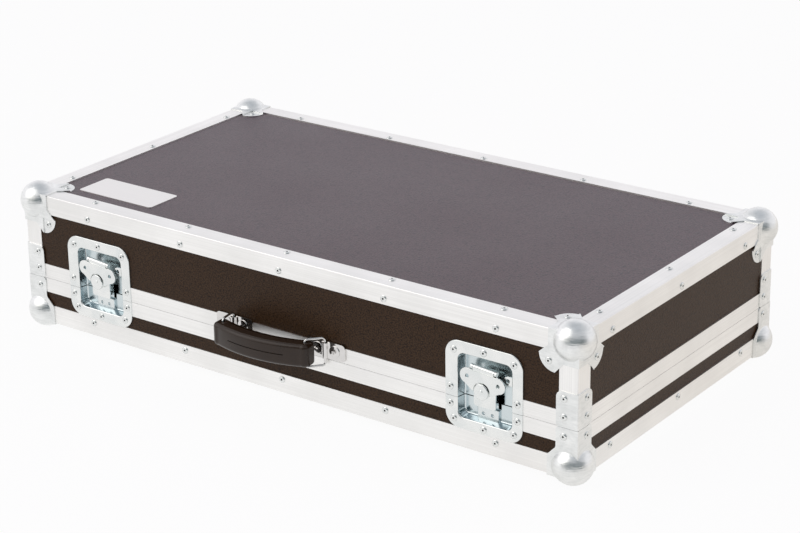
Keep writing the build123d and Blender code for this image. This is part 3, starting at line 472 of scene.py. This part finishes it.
# Bare steel, torn off where the mandrel broke: rough and dark. It also lines the hole's wall and floor,
# where its dark is painted shade, and so gives each head a small dark point.
mandrel_and_hole_shade_grey = "#4a4846"
mandrel_roughness = 0.6

mandrel, tree, shader = material("broken steel mandrel with painted hole shade")
shader.inputs["Base Color"].default_value = linear(mandrel_and_hole_shade_grey)
shader.inputs["Metallic"].default_value = 1.0
shader.inputs["Roughness"].default_value = mandrel_roughness


def heads(node):
    """The seat of each separate solid in a node and the way it faces, in order of place."""
    copy = bmesh.new()
    copy.from_mesh(nodes[node].data)
    bmesh.ops.remove_doubles(copy, verts=copy.verts, dist=weld)
    middle = (0, 0, (cad_box[0][2] + cad_box[1][2]) / 2)
    left = set(copy.verts)
    found = []
    while left:
        island = [left.pop()]
        for vert in island:  # the island grows while it is walked
            fresh = {edge.other_vert(vert) for edge in vert.link_edges} & left
            left -= fresh
            island += fresh
        low = Vector([min(v.co[i] for v in island) for i in range(3)])
        high = Vector([max(v.co[i] for v in island) for i in range(3)])
        seat = (low + high) / 2
        axis = min(range(3), key=lambda i: (high - low)[i])
        outward = Vector((0, 0, 0))
        outward[axis] = 1 if seat[axis] > middle[axis] else -1
        seat[axis] = low[axis] if outward[axis] > 0 else high[axis]
        found.append((seat, outward))
    copy.free()
    return sorted(found, key=lambda seat: tuple(round(v, 4) for v in seat[0]))


def seats(name, places):
    """A mesh of loose points that carry the way each fastener faces."""
    mesh = bpy.data.meshes.new(name)
    mesh.from_pydata([place for place, _ in places], [], [])
    ways = mesh.attributes.new("outward", "FLOAT_VECTOR", "POINT")
    for i, (_, outward) in enumerate(places):
        ways.data[i].vector = outward
    piece = bpy.data.objects.new(name, mesh)
    scene.collection.objects.link(piece)
    return piece


def grown(piece, modifier_tree, values):
    """Run a tree with its named inputs on a piece, and keep the result as a plain mesh."""
    modifier = piece.modifiers.new("grow", "NODES")
    modifier.node_group = modifier_tree
    for socket in modifier_tree.interface.items_tree:
        if socket.in_out == "INPUT" and socket.name in values:
            modifier[socket.identifier] = values[socket.name]
    bpy.context.view_layer.update()
    evaluated = piece.evaluated_get(bpy.context.evaluated_depsgraph_get())
    mesh = bpy.data.meshes.new_from_object(evaluated)
    piece.modifiers.clear()
    piece.data = mesh
    mesh.name = piece.name
    return piece


# A head is a grid wrapped round its axis: X goes out along the profile, Y goes round.
rivet_tree = bpy.data.node_groups.new("blind rivet heads", "GeometryNodeTree")
for name, kind in (("Seats", "NodeSocketGeometry"), ("Head radius", "NodeSocketFloat"),
                   ("Head height", "NodeSocketFloat"), ("Finish", "NodeSocketMaterial"),
                   ("Mandrel and hole shade", "NodeSocketMaterial")):
    rivet_tree.interface.new_socket(name, in_out="INPUT", socket_type=kind)
rivet_tree.interface.new_socket("Heads", in_out="OUTPUT", socket_type="NodeSocketGeometry")
start = add(rivet_tree, "NodeGroupInput")
sheet = add(rivet_tree, "GeometryNodeMeshGrid",
            {"Size X": 1.0, "Size Y": 1.0, "Vertices X": len(profile_radius), "Vertices Y": turns + 1})
spot = add(rivet_tree, "GeometryNodeInputPosition")
parts = add(rivet_tree, "ShaderNodeSeparateXYZ", links={0: (spot, 0)})
step = add(rivet_tree, "ShaderNodeMath", {1: 0.5}, {0: (parts, "X")}, operation="ADD")
angle = add(rivet_tree, "ShaderNodeMath", {1: 2 * math.pi}, {0: (parts, "Y")}, operation="MULTIPLY")
lathe = []
for values, size in ((profile_radius, "Head radius"), (profile_height, "Head height")):
    curve = add(rivet_tree, "ShaderNodeFloatCurve", links={"Value": (step, 0)})
    points = curve.mapping.curves[0].points
    points[0].location = (0, values[0])
    points[1].location = (1, values[-1])
    for i, value in enumerate(values[1:-1], 1):
        points.new(i / (len(values) - 1), value)
    for point in points:
        point.handle_type = "VECTOR"
    curve.mapping.update()
    lathe.append(add(rivet_tree, "ShaderNodeMath", links={0: (curve, 0), 1: (start, size)},
                     operation="MULTIPLY"))
turn = [add(rivet_tree, "ShaderNodeMath", links={0: (angle, 0)}, operation=kind)
        for kind in ("COSINE", "SINE")]
flat = [add(rivet_tree, "ShaderNodeMath", links={0: (lathe[0], 0), 1: (t, 0)}, operation="MULTIPLY")
        for t in turn]
ring = add(rivet_tree, "ShaderNodeCombineXYZ",
           links={"X": (flat[0], 0), "Y": (flat[1], 0), "Z": (lathe[1], 0)})
marked = add(rivet_tree, "GeometryNodeStoreNamedAttribute", {"Name": "from axis"},
             {"Geometry": (sheet, "Mesh"), "Value": (step, 0)}, data_type="FLOAT", domain="FACE")
dome = add(rivet_tree, "GeometryNodeSetPosition",
           links={"Geometry": (marked, "Geometry"), "Position": (ring, 0)})
closed = add(rivet_tree, "GeometryNodeMergeByDistance", {"Distance": head_weld},
             {"Geometry": (dome, "Geometry")})
soft_head = add(rivet_tree, "GeometryNodeSetShadeSmooth", {"Shade Smooth": True},
                {"Geometry": (closed, "Geometry")})
outward = add(rivet_tree, "GeometryNodeInputNamedAttribute", {"Name": "outward"}, data_type="FLOAT_VECTOR")
facing = add(rivet_tree, "FunctionNodeAlignRotationToVector", links={"Vector": (outward, "Attribute")},
             axis="Z")
placed = add(rivet_tree, "GeometryNodeInstanceOnPoints",
             links={"Points": (start, "Seats"), "Instance": (soft_head, "Geometry"),
                    "Rotation": (facing, "Rotation")})
real = add(rivet_tree, "GeometryNodeRealizeInstances", links={"Geometry": (placed, "Instances")})
coated = add(rivet_tree, "GeometryNodeSetMaterial",
             links={"Geometry": (real, "Geometry"), "Material": (start, "Finish")})
spread = add(rivet_tree, "GeometryNodeInputNamedAttribute", {"Name": "from axis"}, data_type="FLOAT")
# The mandrel's end, and the hole's wall and floor round it, take the dark steel: painted shade in the hole.
inner = add(rivet_tree, "FunctionNodeCompare", {"B": hole_share}, {"A": (spread, "Attribute")},
            operation="LESS_THAN")
holed = add(rivet_tree, "GeometryNodeSetMaterial",
            links={"Geometry": (coated, "Geometry"), "Selection": (inner, "Result"),
                   "Material": (start, "Mandrel and hole shade")})
add(rivet_tree, "NodeGroupOutput", links={"Heads": (holed, "Geometry")})

for body, node in (("base", "base_rivets"), ("lid", "lid_rivets")):
    piece = grown(seats(node + "_domed", heads(node)), rivet_tree,
                  {"Head radius": head_radius, "Head height": head_height, "Finish": rivet_zinc,
                   "Mandrel and hole shade": mandrel})
    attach(piece, body)
    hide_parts(node)


# Handle: two chromed wire loops turn in pressed chromed staples, and a bowed grip of moulded rubber
# hangs between them. Each staple has a round seat for a pan head screw on both sides of its sleeve.

# Chrome plate on polished steel: a hard mirror, a little hazy where wiping left marks 6 mm wide.
wipes_per_metre = 160.0
chrome_grey, chrome_light = "#cfcdcb", "#dedcda"
chrome_smooth, chrome_hazy = 0.03, 0.09

chrome, tree, shader = material("bright chrome plate")
shader.inputs["Metallic"].default_value = 1.0
place = add(tree, "ShaderNodeTexCoord")
wipe = add(tree, "ShaderNodeTexNoise", {"Scale": wipes_per_metre, "Detail": 3.0},
           {"Vector": (place, "Object")})
dull = add(tree, "ShaderNodeMapRange", {"To Min": chrome_smooth, "To Max": chrome_hazy},
           {"Value": (wipe, "Fac")})
tree.links.new(dull.outputs[0], shader.inputs["Roughness"])
metal = add(tree, "ShaderNodeMixRGB", {"Color1": linear(chrome_grey), "Color2": linear(chrome_light)},
            {"Fac": (wipe, "Fac")})
tree.links.new(metal.outputs[0], shader.inputs["Base Color"])

# Moulded rubber: brown black with a soft oily gloss. The mould's spark grain is drawn at 0.9 mm,
# coarser than the real one, and the wear from hands is in patches 22 mm across.
skin_grain = 0.0009
skin_relief = 0.0001
skin_strength = 0.25
wear_per_metre = 45.0
rubber_dark, rubber_worn = "#21160d", "#302318"
rubber_smooth, rubber_dull = 0.24, 0.34
rubber_gloss = 0.36

rubber, tree, shader = material("moulded rubber")
place = add(tree, "ShaderNodeTexCoord")
skin = add(tree, "ShaderNodeTexNoise", {"Scale": 1 / skin_grain, "Detail": 2.0},
           {"Vector": (place, "Object")})
wear = add(tree, "ShaderNodeTexNoise", {"Scale": wear_per_metre, "Detail": 4.0},
           {"Vector": (place, "Object")})
tint = add(tree, "ShaderNodeMixRGB", {"Color1": linear(rubber_dark), "Color2": linear(rubber_worn)},
           {"Fac": (wear, "Fac")})
tree.links.new(tint.outputs[0], shader.inputs["Base Color"])
dull = add(tree, "ShaderNodeMapRange", {"To Min": rubber_smooth, "To Max": rubber_dull},
           {"Value": (wear, "Fac")})
tree.links.new(dull.outputs[0], shader.inputs["Roughness"])
shader.inputs["Specular IOR Level"].default_value = rubber_gloss
relief = add(tree, "ShaderNodeBump", {"Strength": skin_strength, "Distance": skin_relief},
             {"Height": (skin, "Fac")})
tree.links.new(relief.outputs[0], shader.inputs["Normal"])

dress("handle_grip", rubber)
for node in ("handle_staples", "handle_loop_left", "handle_loop_right"):
    dress(node, chrome)

screw_radius = 0.0043
screw_height = 0.0024
recess_width = 0.0011
recess_span = 0.0046
recess_depth = 0.0012
pan_fullness = 0.6
screw_weld = 0.00001
loosest_turn = 1.5
turn_seed = 4

# A pan head is a ball pressed flat from below, with a cross cut into its top. Each screw was driven
# home at its own angle.
screw_tree = bpy.data.node_groups.new("pan head screws", "GeometryNodeTree")
for name, kind in (("Seats", "NodeSocketGeometry"), ("Radius", "NodeSocketFloat"),
                   ("Height", "NodeSocketFloat"), ("Recess width", "NodeSocketFloat"),
                   ("Recess span", "NodeSocketFloat"), ("Recess depth", "NodeSocketFloat"),
                   ("Finish", "NodeSocketMaterial")):
    screw_tree.interface.new_socket(name, in_out="INPUT", socket_type=kind)
screw_tree.interface.new_socket("Screws", in_out="OUTPUT", socket_type="NodeSocketGeometry")
start = add(screw_tree, "NodeGroupInput")
round_head = add(screw_tree, "GeometryNodeMeshUVSphere", {"Segments": 40, "Rings": 24},
                 {"Radius": (start, "Radius")})
spot = add(screw_tree, "GeometryNodeInputPosition")
parts = add(screw_tree, "ShaderNodeSeparateXYZ", links={0: (spot, 0)})
share = add(screw_tree, "ShaderNodeMath", links={0: (parts, "Z"), 1: (start, "Radius")},
            operation="DIVIDE")
held = add(screw_tree, "ShaderNodeClamp", {"Min": 0.0, "Max": 1.0}, {"Value": (share, 0)})
full = add(screw_tree, "ShaderNodeMath", {1: pan_fullness}, {0: (held, 0)}, operation="POWER")
rise = add(screw_tree, "ShaderNodeMath", links={0: (full, 0), 1: (start, "Height")}, operation="MULTIPLY")
pan = add(screw_tree, "ShaderNodeCombineXYZ",
          links={"X": (parts, "X"), "Y": (parts, "Y"), "Z": (rise, 0)})
pressed = add(screw_tree, "GeometryNodeSetPosition",
              links={"Geometry": (round_head, "Mesh"), "Position": (pan, 0)})
whole_head = add(screw_tree, "GeometryNodeMergeByDistance", {"Distance": screw_weld},
                 {"Geometry": (pressed, "Geometry")})
lift = add(screw_tree, "ShaderNodeCombineXYZ", links={"Z": (start, "Height")})
through = add(screw_tree, "ShaderNodeMath", {1: 2.0}, {0: (start, "Recess depth")}, operation="MULTIPLY")
cross = add(screw_tree, "GeometryNodeMeshBoolean", operation="DIFFERENCE")
screw_tree.links.new(whole_head.outputs["Geometry"], cross.inputs["Mesh 1"])
for along, across in (("Recess span", "Recess width"), ("Recess width", "Recess span")):
    size = add(screw_tree, "ShaderNodeCombineXYZ",
               links={"X": (start, along), "Y": (start, across), "Z": (through, 0)})
    bar = add(screw_tree, "GeometryNodeMeshCube", links={"Size": (size, 0)})
    lifted = add(screw_tree, "GeometryNodeTransform",
                 links={"Geometry": (bar, "Mesh"), "Translation": (lift, 0)})
    screw_tree.links.new(lifted.outputs["Geometry"], cross.inputs["Mesh 2"])
outward = add(screw_tree, "GeometryNodeInputNamedAttribute", {"Name": "outward"}, data_type="FLOAT_VECTOR")
facing = add(screw_tree, "FunctionNodeAlignRotationToVector", links={"Vector": (outward, "Attribute")},
             axis="Z")
driven = add(screw_tree, "FunctionNodeRandomValue", {"Max": loosest_turn, "Seed": turn_seed},
             data_type="FLOAT")
twist = add(screw_tree, "ShaderNodeCombineXYZ", links={"Z": (driven, "Value")})
stopped = add(screw_tree, "FunctionNodeRotateRotation",
              links={"Rotation": (facing, "Rotation"), "Rotate By": (twist, 0)}, rotation_space="LOCAL")
placed = add(screw_tree, "GeometryNodeInstanceOnPoints",
             links={"Points": (start, "Seats"), "Instance": (cross, "Mesh"),
                    "Rotation": (stopped, "Rotation")})
real = add(screw_tree, "GeometryNodeRealizeInstances", links={"Geometry": (placed, "Instances")})
coated = add(screw_tree, "GeometryNodeSetMaterial",
             links={"Geometry": (real, "Geometry"), "Material": (start, "Finish")})
add(screw_tree, "NodeGroupOutput", links={"Screws": (coated, "Geometry")})

screws = grown(seats("handle_pan_screws", heads("handle_screws")), screw_tree,
               {"Radius": screw_radius, "Height": screw_height, "Recess width": recess_width,
                "Recess span": recess_span, "Recess depth": recess_depth, "Finish": chrome})
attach(screws, "lid")
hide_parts("handle_screws")


# Hinges: two pressed steel stop hinges at the back, with five knuckles on a steel pin, riveted over
# the parting. They have the same zinc as the ball corners.
for node in ("base_hinge_leaves", "lid_hinge_leaves", "hinge_pins"):
    dress(node, zinc)


# Label plate: a bare sheet of aluminium, stamped out with small round corners and bonded flat on the
# lid near the front left corner, where its long side runs with the case's.

# Satin aluminium, ground along its length: even and pale, with short strokes that blur what it
# mirrors. The strokes are finer on the real one, and are drawn 0.8 mm wide and 80 mm long.
stroke_width = 0.0008
strokes_per_metre = 12.0
plate_grey, plate_light = "#e6e4e2", "#f7f5f3"
plate_smooth, plate_dull = 0.30, 0.45

satin, tree, shader = material("satin aluminium sheet")
shader.inputs["Metallic"].default_value = 1.0
place = add(tree, "ShaderNodeTexCoord")
run = add(tree, "ShaderNodeMapping", {"Scale": (strokes_per_metre, 1 / stroke_width, 1 / stroke_width)},
          {"Vector": (place, "Object")})
strokes = add(tree, "ShaderNodeTexNoise", {"Scale": 1.0, "Detail": 3.0}, {"Vector": (run, "Vector")})
metal = add(tree, "ShaderNodeMixRGB", {"Color1": linear(plate_grey), "Color2": linear(plate_light)},
            {"Fac": (strokes, "Fac")})
tree.links.new(metal.outputs[0], shader.inputs["Base Color"])
dull = add(tree, "ShaderNodeMapRange", {"To Min": plate_smooth, "To Max": plate_dull},
           {"Value": (strokes, "Fac")})
tree.links.new(dull.outputs[0], shader.inputs["Roughness"])
dress("badge_plate", satin)


# Foam: a sheet of dark grey polyether foam in the base with a low rim cut from the same sheet, and a
# convoluted sheet under the top, whose bumps hold the console still. Both are glued in.

# Open cell foam, cut with a blade: quite matt, with the pores painted dark as painted shade in the holes
# between lighter cell walls, and a faint fuzz on its edges. The real cells are 1 mm wide, and are drawn at
# 2.2 mm so that they show.
cell = 0.0022
cell_relief = 0.0006
cell_strength = 0.6
pore_painted_shade, foam_light = "#232426", "#3c3e41"
foam_roughness = 0.95
foam_fuzz = 0.25

foam_material, tree, shader = material("open cell foam")
place = add(tree, "ShaderNodeTexCoord")
pores = add(tree, "ShaderNodeTexVoronoi", {"Scale": 1 / cell}, {"Vector": (place, "Object")})
shade = add(tree, "ShaderNodeMapRange", {"From Max": 0.6}, {"Value": (pores, "Distance")})
# The pores take the dark colour, as painted shade in the holes.
tint = add(tree, "ShaderNodeMixRGB", {"Color1": linear(pore_painted_shade), "Color2": linear(foam_light)},
           {"Fac": (shade, 0)})
tree.links.new(tint.outputs[0], shader.inputs["Base Color"])
shader.inputs["Roughness"].default_value = foam_roughness
shader.inputs["Sheen Weight"].default_value = foam_fuzz
relief = add(tree, "ShaderNodeBump", {"Strength": cell_strength, "Distance": cell_relief},
             {"Height": (pores, "Distance")})
tree.links.new(relief.outputs[0], shader.inputs["Normal"])


def block_surface(low, high, cells, height):
    """A closed block whose upper (or lower) side follows a height at each grid point."""
    nx, ny = cells
    xs = [low[0] + (high[0] - low[0]) * i / nx for i in range(nx + 1)]
    ys = [low[1] + (high[1] - low[1]) * j / ny for j in range(ny + 1)]
    points = [(x, y, height(x, y)) for y in ys for x in xs]
    size = len(points)
    points += [(x, y, low[2]) for y in ys for x in xs]
    faces = []
    for j in range(ny):
        for i in range(nx):
            a = j * (nx + 1) + i
            quad = (a, a + 1, a + nx + 2, a + nx + 1)
            faces.append(quad)
            faces.append(tuple(size + k for k in reversed(quad)))
    rim = [i for i in range(nx + 1)] + [(j + 1) * (nx + 1) + nx for j in range(ny)]
    rim += [ny * (nx + 1) + i for i in range(nx - 1, -1, -1)] + [j * (nx + 1) for j in range(ny - 1, 0, -1)]
    for a, b in zip(rim, rim[1:] + rim[:1]):
        faces.append((a, size + a, size + b, b))
    return points, faces


def foam_piece(name, points, faces, body, node):
    """A soft padded piece that rides on a body in place of its plain solid."""
    mesh = bpy.data.meshes.new(name)
    mesh.from_pydata(points, [], faces)
    mesh.polygons.foreach_set("use_smooth", [True] * len(faces))
    mesh.materials.append(foam_material)
    piece = bpy.data.objects.new(name, mesh)
    scene.collection.objects.link(piece)
    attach(piece, body)
    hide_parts(node)


bed_low, bed_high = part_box("base_foam_bed")
bed_cells = (280, 150)
rim_width = 0.012
rim_height = 0.012
rim_softness = 0.006
edge_round = 0.004
edge_drop = 0.0015
sheet_sink = 0.0008
wave_height = 0.0006
wave_x, wave_y = 23, 31


def bed_top(x, y):
    """The rim stands above the sheet with soft round edges, and the sheet sags in slow, low waves."""
    inside = min(x - bed_low[0], bed_high[0] - x, y - bed_low[1], bed_high[1] - y)
    t = min(max((inside - rim_width) / rim_softness, 0.0), 1.0)
    wall = min(inside / edge_round, 1.0)
    wave = wave_height * math.sin(x * wave_x) * math.sin(y * wave_y)
    step_down = rim_height * t * t * (3 - 2 * t)
    return bed_high[2] - step_down - edge_drop * (1 - wall) ** 2 - (sheet_sink - wave) * t


points, faces = block_surface(bed_low, bed_high, bed_cells, bed_top)
foam_piece("base_foam_sheet", points, faces, "base", "base_foam_bed")

pad_low, pad_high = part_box("lid_foam_pad")
pad_cells = (224, 120)
bump_pitch = 0.030
bump_depth = 0.009


def pad_face(x, y):
    """Convoluted foam: rows of round bumps with hollows between them, hanging down from the top."""
    bump = 0.5 + 0.25 * (math.cos(2 * math.pi * x / bump_pitch) + math.cos(2 * math.pi * y / bump_pitch))
    return pad_low[2] + bump_depth * (1 - bump)


points, faces = block_surface((pad_low[0], pad_low[1], pad_high[2]), (pad_high[0], pad_high[1], 0), pad_cells,
                              pad_face)
foam_piece("lid_foam_bumps", points, [tuple(reversed(f)) for f in faces], "lid", "lid_foam_pad")
